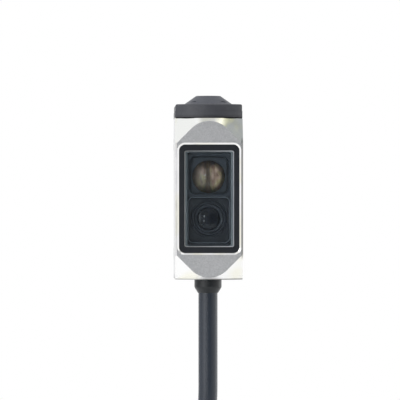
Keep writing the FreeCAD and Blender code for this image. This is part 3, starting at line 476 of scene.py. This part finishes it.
def make_holder():
    """Satin moulded block, with painted light: paler above the divider, and painted highlights on the
    bevels round the lower chamber.
    """
    shader = Shader("holder_black")
    facing = shader.math("ABSOLUTE", shader.normal()["Y"])
    off_bevel = shader.math("ABSOLUTE", shader.math("SUBTRACT", facing, BEVEL_FACING))
    bevel = shader.spread(off_bevel, 1.0, 0.0, 0.02, 0.14)
    # painted light: the block is given a paler colour above the divider
    painted_lighter_above = shader.spread(shader.axes(shader.place)["Z"], 0.0, 1.0, 0.4 * MM, 1.2 * MM)
    lower = shader.math("SUBTRACT", 1.0, painted_lighter_above)
    painted_bevel_highlight = shader.math("MULTIPLY", bevel, lower)
    clouds = shader.noise(1.6 * MM)
    dark = shader.mix(clouds, (0.010, 0.013, 0.020), (0.016, 0.021, 0.031))
    # painted light: the paler copy of the colour, used above the divider
    light = shader.mix(clouds, (0.034, 0.043, 0.056), (0.052, 0.064, 0.081))
    plain = shader.mix(painted_lighter_above, dark, light)
    # painted highlight on the 45 degree bevels round the lower chamber
    pale = shader.mix(clouds, (0.16, 0.175, 0.2), (0.26, 0.28, 0.31))
    shader.colour(shader.mix(painted_bevel_highlight, plain, pale))
    shader.roughness(shader.spread(shader.noise(0.6 * MM), 0.3, 0.42))
    shader.bump(shader.noise(0.8 * MM, detail=5), 0.004 * MM, 0.6)
    return shader.material


def make_cap():
    """Matt moulded cap, with shade painted along its lower edge."""
    shader = Shader("cap_grey")
    height = shader.axes(shader.place)["Z"]
    # painted shade: darker along the cap's lower edge
    painted_shade_low = shader.spread(height, 1.0, 0.0, ROOF + 0.1 * MM, ROOF + 0.7 * MM)
    unshaded = shader.mix(shader.noise(1.8 * MM), (0.034, 0.036, 0.045), (0.05, 0.052, 0.062))
    shader.colour(shader.mix(painted_shade_low, unshaded, (0.016, 0.017, 0.022)))
    moulded_finish(shader, 0.5)
    return shader.material


def make_dark_lens():
    """Almost black filter lens, polished, with the faintest unevenness."""
    shader = Shader("dark_lens", IOR=1.38)
    shader.colour(shader.mix(shader.noise(1.5 * MM), (0.003, 0.004, 0.009), (0.005, 0.007, 0.014)))
    shader.roughness(shader.spread(shader.noise(1.0 * MM), 0.05, 0.09))
    shader.bump(shader.noise(3 * MM, detail=0), 0.01 * MM, 0.3)
    return shader.material


def make_seal():
    """Grey elastomer, with light painted on: paler along the window's two long sides."""
    shader = Shader("seal_grey")
    aside = shader.math("ABSOLUTE", shader.axes(shader.place)["X"])
    # painted light: the long sides are given a paler colour than the ends
    beside = shader.spread(aside, 0.0, 1.0, 4.5 * MM, 5.0 * MM)
    bloom = shader.noise(1.2 * MM)
    ends = shader.mix(bloom, (0.07, 0.08, 0.085), (0.11, 0.12, 0.13))
    sides = shader.mix(bloom, (0.25, 0.28, 0.29), (0.36, 0.39, 0.40))
    shader.colour(shader.mix(beside, ends, sides))
    elastomer_finish(shader)
    return shader.material


def make_tie():
    """Nylon strap with fine ratchet ribs across it."""
    shader = Shader("tie_black")
    ribs = shader.add("ShaderNodeTexWave", bands_direction="X")
    ribs.inputs["Scale"].default_value = 1 / (2.2 * MM)
    shader.link(shader.place, ribs.inputs["Vector"])
    shader.colour(shader.mix(shader.noise(1.0 * MM), (0.014, 0.014, 0.015), (0.026, 0.026, 0.027)))
    shader.roughness(shader.spread(shader.noise(0.5 * MM), 0.34, 0.46))
    shader.bump(ribs.outputs["Fac"], 0.12 * MM, 0.6)
    return shader.material


def make_jacket():
    """Smooth extruded jacket: satin, with the faintest lengthwise drag marks and dust."""
    shader = Shader("cable_jacket")
    dust = shader.noise(0.9 * MM, detail=4)
    shader.colour(shader.mix(dust, (0.011, 0.017, 0.028), (0.019, 0.028, 0.042)))
    shader.roughness(shader.spread(shader.noise(0.5 * MM), 0.30, 0.40))
    shader.bump(shader.noise(0.35 * MM, stretch=(1, 1, 0.15)), 0.006 * MM, 0.2)
    return shader.material


MATERIALS = {
    "stainless": make_stainless(),
    "black_plastic": moulded(
        "black_plastic", (0.005, 0.007, 0.010), (0.011, 0.014, 0.019), 0.34, Specular_IOR_Level=0.35,
    ),
    "holder_black": make_holder(),
    "seal_grey": make_seal(),
    "black_rubber": make_rubber(),
    "clear_pane": make_clear("clear_pane", (0.93, 0.965, 0.985), 1.3, 1.5 * MM),
    "clear_lens": make_clear("clear_lens", (0.985, 0.965, 0.94), 1.5, 0.8 * MM),
    "dark_lens": make_dark_lens(),
    "white_package": moulded("white_package", (0.62, 0.6, 0.55), (0.72, 0.7, 0.66), 0.5),
    "dark_package": moulded("dark_package", (0.015, 0.012, 0.015), (0.03, 0.02, 0.03), 0.25),
    "gold": plated("gold", (0.95, 0.68, 0.28), (0.8, 0.5, 0.2)),
    "board_green": make_board(),
    "chip_black": moulded("chip_black", (0.02, 0.02, 0.022), (0.035, 0.035, 0.038), 0.55),
    "capacitor_tan": moulded("capacitor_tan", (0.32, 0.2, 0.1), (0.42, 0.28, 0.16), 0.4),
    "cap_grey": make_cap(),
    "ring_grey": moulded(
        "ring_grey", (0.049, 0.052, 0.065), (0.068, 0.072, 0.089), 0.5, Specular_IOR_Level=0.35,
    ),
    "magnet_steel": plated("magnet_steel", (0.7, 0.7, 0.7), (0.5, 0.5, 0.5)),
    "trimmer_blue": moulded("trimmer_blue", (0.02, 0.06, 0.25), (0.03, 0.09, 0.32), 0.3),
    "guide_green": moulded("guide_green", (0.02, 0.3, 0.1), (0.04, 0.4, 0.16), 0.2),
    "guide_amber": moulded("guide_amber", (0.75, 0.36, 0.03), (0.85, 0.45, 0.06), 0.2),
    "gland_black": moulded(
        "gland_black", (0.010, 0.012, 0.014), (0.017, 0.020, 0.023), 0.34, Specular_IOR_Level=0.38,
    ),
    "cable_jacket": make_jacket(),
    "core_brown": moulded("core_brown", (0.12, 0.04, 0.015), (0.17, 0.06, 0.025), 0.35),
    "core_white": moulded("core_white", (0.72, 0.72, 0.7), (0.8, 0.8, 0.78), 0.35),
    "core_blue": moulded("core_blue", (0.01, 0.07, 0.35), (0.02, 0.1, 0.45), 0.35),
    "core_black": moulded("core_black", (0.012, 0.012, 0.012), (0.025, 0.025, 0.025), 0.35),
    "tie_black": make_tie(),
}
CAD_SHARP = 24
STEP_SHARP = 30
ROUND_SHARP = 50


def shade_smooth(mesh, sharp):
    """Smooth shading except across edges sharper than this many degrees."""
    for polygon in mesh.polygons:
        polygon.use_smooth = True
    mesh.set_sharp_from_angle(angle=math.radians(sharp))


for entry in frame["record"]["subparts"]:
    mesh = frame["nodes"][entry["node"]].data
    shade_smooth(mesh, CAD_SHARP)
    mesh.materials.clear()
    mesh.materials.append(MATERIALS[entry["material_slot"]])
cable.data.materials.append(MATERIALS["cable_jacket"])

# --------------------------------------------------------------------------- modelling helpers


def add_piece(name, mesh, slot, material=None):
    """Puts a finished bmesh into the scene as a piece that rides on the sensor."""
    data = bpy.data.meshes.new(name)
    mesh.to_mesh(data)
    mesh.free()
    data.materials.append(material or MATERIALS[slot])
    piece = bpy.data.objects.new(name, data)
    bpy.context.scene.collection.objects.link(piece)
    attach(piece, SENSOR)
    return piece


def lathe(profile, centre, segments, start=0.0, end=2 * math.pi):
    """A bmesh turned about an axis along Y from a closed profile of radius and depth pairs."""
    mesh = bmesh.new()
    whole = math.isclose(end - start, 2 * math.pi)
    count = segments if whole else segments + 1
    rings = []
    for index in range(count):
        angle = start + (end - start) * index / segments
        across, up = math.cos(angle), math.sin(angle)
        rings.append([
            mesh.verts.new((centre.x + radius * across, centre.y + depth, centre.z + radius * up))
            for radius, depth in profile
        ])
    for index in range(segments):
        first, second = rings[index], rings[(index + 1) % count]
        for corner in range(len(profile)):
            follower = (corner + 1) % len(profile)
            mesh.faces.new((first[corner], first[follower], second[follower], second[corner]))
    if not whole:
        mesh.faces.new(rings[0])
        mesh.faces.new(list(reversed(rings[-1])))
    bmesh.ops.recalc_face_normals(mesh, faces=mesh.faces)
    return mesh


def rounded_outline(half_width, half_height, radius):
    """Points round a rectangle with rounded corners, as pairs."""
    steps = 6
    points = []
    for index, (side_x, side_z) in enumerate(((1, 1), (-1, 1), (-1, -1), (1, -1))):
        for step in range(steps + 1):
            angle = math.pi / 2 * (index + step / steps)
            points.append((
                side_x * (half_width - radius) + radius * math.cos(angle),
                side_z * (half_height - radius) + radius * math.sin(angle),
            ))
    return points


# --------------------------------------------------------------------------- window and optics


PANE_BEVEL = 0.2 * MM
PANE_ROUND = 0.5 * MM


def make_window_pane():
    """Clear pane with a small ground bevel round its front edge."""
    low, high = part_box("front_window")
    centre = (low + high) / 2
    half_x, half_z = (high.x - low.x) / 2, (high.z - low.z) / 2
    loops = []
    mesh = bmesh.new()
    for inset, depth in ((PANE_BEVEL, low.y), (0, low.y + PANE_BEVEL * 0.6), (0, high.y)):
        outline = rounded_outline(half_x - inset, half_z - inset, PANE_ROUND - inset * 0.6)
        loops.append([mesh.verts.new((centre.x + x, depth, centre.z + z)) for x, z in outline])
    mesh.faces.new(loops[0])
    mesh.faces.new(list(reversed(loops[-1])))
    for first, second in zip(loops, loops[1:]):
        for index in range(len(first)):
            follower = (index + 1) % len(first)
            face = mesh.faces.new((first[index], second[index], second[follower], first[follower]))
            face.material_index = 1
    bmesh.ops.recalc_face_normals(mesh, faces=mesh.faces)
    pane = add_piece("window_pane", mesh, "clear_pane")
    pane.data.materials.append(make_ground_edge())
    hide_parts("front_window")


def lens_axis(node):
    """The middle of a round sub-part, seen along Y."""
    low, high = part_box(node)
    return Vector(((low.x + high.x) / 2, 0, (low.z + high.z) / 2))


SEAM_SHIFT = 0.12 * MM
HALF_MIDDLE = 1.85 * MM
HALF_HEIGHT = 3.3 * MM


def make_lobe_material():
    """Mirror coating: painted highlights in the middle of each half, paler on the left, darker at its
    edge, brown above and olive below, and a painted dark reflection along the seam.
    """
    shader = Shader("lobe_mirror", Metallic=0.4)
    place = shader.axes(shader.place)
    off_seam = shader.math("ABSOLUTE", shader.math("ADD", place["X"], SEAM_SHIFT))
    across = shader.math("MULTIPLY", off_seam, 1 / HALF_MIDDLE)
    up = shader.math("MULTIPLY", place["Z"], 1 / HALF_HEIGHT)
    aside = shader.math("SUBTRACT", across, 1.0)
    distance = shader.math(
        "ADD", shader.math("MULTIPLY", aside, aside), shader.math("MULTIPLY", up, up),
    )
    uneven = shader.math("ADD", distance, shader.spread(shader.noise(1.2 * MM), -0.22, 0.22))
    # painted reflection: a dark brown band along the seam between the halves
    seam = shader.spread(across, 1.0, 0.0, 0.06, 0.42)
    edge_share = shader.spread(uneven, 0.0, 1.0, 0.45, 1.15)
    streaks = shader.noise(0.9 * MM, detail=1.5, stretch=(1, 1, 0.35))
    strokes = shader.spread(streaks, 0, 1, 0.35, 0.65)
    hue = shader.spread(shader.noise(2.2 * MM, detail=1), 0, 1, 0.4, 0.6)
    warm = shader.mix(hue, (0.80, 0.58, 0.46), (0.74, 0.66, 0.34))
    # painted highlight: warm streaked colour in the middle of each half
    painted_highlight_streaks = shader.mix(strokes, (0.30, 0.17, 0.12), warm)
    # painted light: the left half is made paler
    painted_paler_left = shader.spread(place["X"], 1.0, 0.0, -2.6 * MM, -0.4 * MM)
    middle = shader.mix(shader.math("MULTIPLY", painted_paler_left, 0.4), painted_highlight_streaks, (0.85, 0.74, 0.66))
    low_side = shader.math("MULTIPLY", shader.spread(up, 1.0, 0.0, -0.8, 0.3), across, clamp=True)
    edge = shader.mix(low_side, (0.085, 0.045, 0.035), (0.15, 0.17, 0.05))
    halves = shader.mix(edge_share, middle, edge)
    shader.colour(shader.mix(seam, halves, (0.13, 0.075, 0.03)))
    shader.roughness(shader.spread(shader.noise(0.5 * MM), 0.25, 0.45))
    shader.bump(shader.noise(0.9 * MM, detail=2), 0.05 * MM, 0.6)
    return shader.material


CUP_RADIUS = 3.7 * MM
CUP_DEPTH = 0.7 * MM
CUP_THICKNESS = 0.1 * MM
CUP_SEAM = math.radians(0.2)
CUP_SETBACK = 0.03 * MM
LEAST_SHARE = 0.02  # keeps the cup open by a pinhole at its middle


def make_reflector():
    """Mirror cup close behind the emitter lens, in two halves; it also takes the stop's place."""
    centre = lens_axis("emitter_lens")
    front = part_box("emitter_stop")[0].y + CUP_SETBACK
    steps = 12
    inner = []
    for step in range(steps + 1):
        share = 1 - step / steps
        inner.append((CUP_RADIUS * max(share, LEAST_SHARE), CUP_DEPTH * math.sqrt(1 - share * share)))
    outer = [(radius, depth + CUP_THICKNESS) for radius, depth in reversed(inner)]
    coating = make_lobe_material()
    for side, start in (("left", math.pi / 2), ("right", -math.pi / 2)):
        first, last = start + CUP_SEAM, start + math.pi - CUP_SEAM
        mesh = lathe(inner + outer, Vector(), segments=48, start=first, end=last)
        piece = add_piece(f"emitter_reflector_{side}", mesh, "gold", coating)
        shade_smooth(piece.data, ROUND_SHARP)
        piece.location = (centre.x, front, centre.z)
        if side == "left":
            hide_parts("emitter_stop")


CHAMBER_DEPTH = 2.0 * MM
LENS_CURVATURE = 7.76 * MM
BEZEL_CLEARANCE = 0.03 * MM
BEZEL_OUTER = 4.28
BEZEL_INNER = 2.5
BEZEL_FRONT = (
    # radius and depth below the chamber's floor, in millimetres
    (BEZEL_OUTER, -0.05), (3.95, -0.14), (3.75, 0.05), (3.45, 0.05), (3.35, -0.10),
    (3.2, 0.08), (2.7, 0.12), (2.6, 0.0), (BEZEL_INNER, 0.26),
)


def make_receiver_bezel():
    """Stepped bezel in the receiver's seat, with ridges round the dark lens; its back fits the lens."""
    centre = lens_axis("receiver_lens")
    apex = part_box("receiver_lens")[0].y
    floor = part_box("optics_holder")[0].y + CHAMBER_DEPTH
    points = [(radius * MM, floor + depth * MM) for radius, depth in BEZEL_FRONT]
    steps = 6
    for step in range(steps + 1):
        radius = (BEZEL_INNER + (BEZEL_OUTER - BEZEL_INNER) * step / steps) * MM
        drop = LENS_CURVATURE - math.sqrt(LENS_CURVATURE ** 2 - radius ** 2)
        points.append((radius, apex + drop - BEZEL_CLEARANCE))
    satin = moulded("bezel_black", (0.015, 0.019, 0.027), (0.025, 0.031, 0.042), 0.34)
    piece = add_piece("receiver_bezel", lathe(points, centre, segments=128), "holder_black", satin)
    shade_smooth(piece.data, STEP_SHARP)


make_window_pane()
make_reflector()
make_receiver_bezel()

# --------------------------------------------------------------------------- cable ends

CORE_ENDS = {
    # where each core's insulation ends, and which way it points
    "brown": (mm(12.6, 20.0, -149.5), mm(1.6, 1.0, -7.5)),
    "white": (mm(5.5, 21.2, -149.0), mm(0.2, 2.3, -6.8)),
    "blue": (mm(10.2, 11.0, -149.3), mm(-0.2, -2.0, -7.3)),
    "black": (mm(3.4, 12.9, -149.6), mm(-1.2, -0.8, -7.4)),
}


STRANDS = 7
STRAND_RADIUS = 0.13 * MM
STRAND_LAY = 2.1 * STRAND_RADIUS
STRAND_LENGTH = 3.0 * MM
STRAND_HIDDEN = 0.6 * MM
STRAND_TWIST = 1.4
STRAND_SIDES = 8


def add_strand(mesh, end, way, start, lay):
    """One strand of round wire that twists about the line from end along way."""
    side = way.cross(Vector((1, 0, 0))).normalized()
    other = way.cross(side)
    steps = 8
    loops = []
    for step in range(steps + 1):
        share = step / steps
        turn = start + STRAND_TWIST * share
        middle = end + way * (STRAND_LENGTH * share - STRAND_HIDDEN)
        middle = middle + (side * math.cos(turn) + other * math.sin(turn)) * lay
        loop = []
        for number in range(STRAND_SIDES):
            corner = 2 * math.pi / STRAND_SIDES * number
            rim = (side * math.cos(corner) + other * math.sin(corner)) * STRAND_RADIUS
            loop.append(mesh.verts.new(middle + rim))
        loops.append(loop)
    for first, second in zip(loops, loops[1:]):
        for corner in range(STRAND_SIDES):
            follower = (corner + 1) % STRAND_SIDES
            mesh.faces.new((first[corner], first[follower], second[follower], second[corner]))
    mesh.faces.new(list(reversed(loops[0])))
    mesh.faces.new(loops[-1])


def make_strands():
    """Stripped copper: one strand in the middle and six round it stand out of each core's end."""
    copper = plated("copper", (0.86, 0.42, 0.24), (0.7, 0.3, 0.16), 0.3)
    for colour, (end, direction) in CORE_ENDS.items():
        mesh = bmesh.new()
        for index in range(STRANDS):
            lay = 0.0 if index == 0 else STRAND_LAY
            add_strand(mesh, end, direction.normalized(), index * math.pi / 3, lay)
        bmesh.ops.recalc_face_normals(mesh, faces=mesh.faces)
        piece = add_piece(f"strands_{colour}", mesh, "gold", copper)
        shade_smooth(piece.data, ROUND_SHARP)


make_strands()

# --------------------------------------------------------------------------- floor, light, world


FLOOR_RADIUS = 0.45
FLOOR_GAP = 4 * MM


def make_floor():
    """A pale round floor under the hanging cable."""
    mesh = bmesh.new()
    bmesh.ops.create_circle(mesh, cap_ends=True, radius=FLOOR_RADIUS, segments=96)
    data = bpy.data.meshes.new("floor")
    mesh.to_mesh(data)
    mesh.free()
    floor = bpy.data.objects.new("floor", data)
    floor.location = (0, 0, cad_box[0].z - FLOOR_GAP)
    shader = Shader("floor_paint")
    shader.colour(shader.mix(shader.noise(50 * MM), (0.84, 0.84, 0.84), (0.88, 0.88, 0.88)))
    shader.roughness(shader.spread(shader.noise(30 * MM), 0.7, 0.9))
    data.materials.append(shader.material)
    bpy.context.scene.collection.objects.link(floor)


def make_softbox(name, place, size, power, mirrored=True):
    """A square area light aimed at the sensor; unless mirrored, polished faces don't show it."""
    data = bpy.data.lights.new(name, "AREA")
    data.size = size
    data.energy = power  # watts
    light = bpy.data.objects.new(name, data)
    light.location = place
    light.visible_glossy = mirrored
    light.rotation_euler = (-Vector(place)).to_track_quat("-Z", "Y").to_euler()
    bpy.context.scene.collection.objects.link(light)


LOBES = (
    # name, direction, degrees within which it is full and beyond which it is gone, colour added
    ("left_softbox", (-0.67, -0.74, 0.05), 8, 24, (1.9, 1.9, 1.95)),
    ("upper_lamp", (-0.235, -0.96, 0.12), 2.0, 3.2, (11.0, 11.0, 11.0)),
    ("lower_lamp", (-0.255, -0.955, -0.15), 2.0, 3.2, (8.5, 8.5, 8.5)),
    ("right_flag", (0.32, -0.95, 0.0), 6, 26, (-0.42, -0.40, -0.38)),
    ("right_side_gap", (0.76, 0.0, 0.65), 6, 24, (-0.70, -0.68, -0.68)),
    ("right_warmth", (0.50, 0.0, 0.86), 2, 16, (0.16, 0.15, 0.0)),
    ("left_top_gap", (-0.7, 0.0, 0.7), 10, 30, (-0.14, -0.13, -0.15)),
    ("zenith_gap", (0.0, 0.0, 1.0), 8, 26, (-0.42, -0.41, -0.40)),
    ("right_back_softbox", (0.90, 0.44, 0.0), 8, 22, (0.9, 0.9, 0.9)),
    ("left_edge_gap", (-0.96, 0.28, 0.0), 10, 28, (-0.36, -0.36, -0.34)),
)


TENT_DIM = 0.6  # towards the camera
TENT_FULL = 1.1  # beside and behind the sensor


def make_world():
    """White tent, dimmer towards the camera, with brighter and darker lobes that the steel mirrors."""
    world = bpy.data.worlds.new("tent")
    world.use_nodes = True
    tree = world.node_tree
    tree.nodes.clear()

    def add(kind, **settings):
        node = tree.nodes.new(kind)
        for name, value in settings.items():
            setattr(node, name, value)
        return node

    def ramp(value, start, end, low, high):
        node = add("ShaderNodeMapRange", interpolation_type="SMOOTHSTEP")
        tree.links.new(value, node.inputs["Value"])
        for socket, number in (
            ("From Min", start), ("From Max", end), ("To Min", low), ("To Max", high),
        ):
            node.inputs[socket].default_value = number
        return node.outputs["Result"]

    output = add("ShaderNodeOutputWorld")
    place = add("ShaderNodeTexCoord").outputs["Generated"]
    split = add("ShaderNodeSeparateXYZ")
    tree.links.new(place, split.inputs[0])
    base = ramp(split.outputs["Y"], -0.9, -0.1, TENT_DIM, TENT_FULL)
    colour = add("ShaderNodeCombineXYZ")
    for axis in range(3):
        tree.links.new(base, colour.inputs[axis])
    total = colour.outputs[0]
    for name, direction, inner, outer, strength in LOBES:
        dot = add("ShaderNodeVectorMath", operation="DOT_PRODUCT", name=name)
        tree.links.new(place, dot.inputs[0])
        dot.inputs[1].default_value = Vector(direction).normalized()
        share = ramp(
            dot.outputs["Value"], math.cos(math.radians(outer)), math.cos(math.radians(inner)), 0, 1,
        )
        grow = add("ShaderNodeVectorMath", operation="MULTIPLY_ADD")
        grow.inputs[0].default_value = strength
        tree.links.new(share, grow.inputs[1])
        tree.links.new(total, grow.inputs[2])
        total = grow.outputs[0]
    tent = add("ShaderNodeBackground")
    tree.links.new(total, tent.inputs["Color"])
    seen = add("ShaderNodeBackground")
    seen.inputs["Color"].default_value = (1, 1, 1, 1)
    path = add("ShaderNodeLightPath")
    blend = add("ShaderNodeMixShader")
    tree.links.new(path.outputs["Is Camera Ray"], blend.inputs[0])
    tree.links.new(tent.outputs[0], blend.inputs[1])
    tree.links.new(seen.outputs[0], blend.inputs[2])
    tree.links.new(blend.outputs[0], output.inputs["Surface"])
    bpy.context.scene.world = world


make_floor()
make_world()
make_softbox("key_left", (-0.55, -0.35, 0.30), size=0.35, power=0.8)
make_softbox("overhead", (0.0, 0.1, 0.7), size=0.6, power=2.4, mirrored=False)
bpy.context.scene.view_settings.view_transform = "Standard"
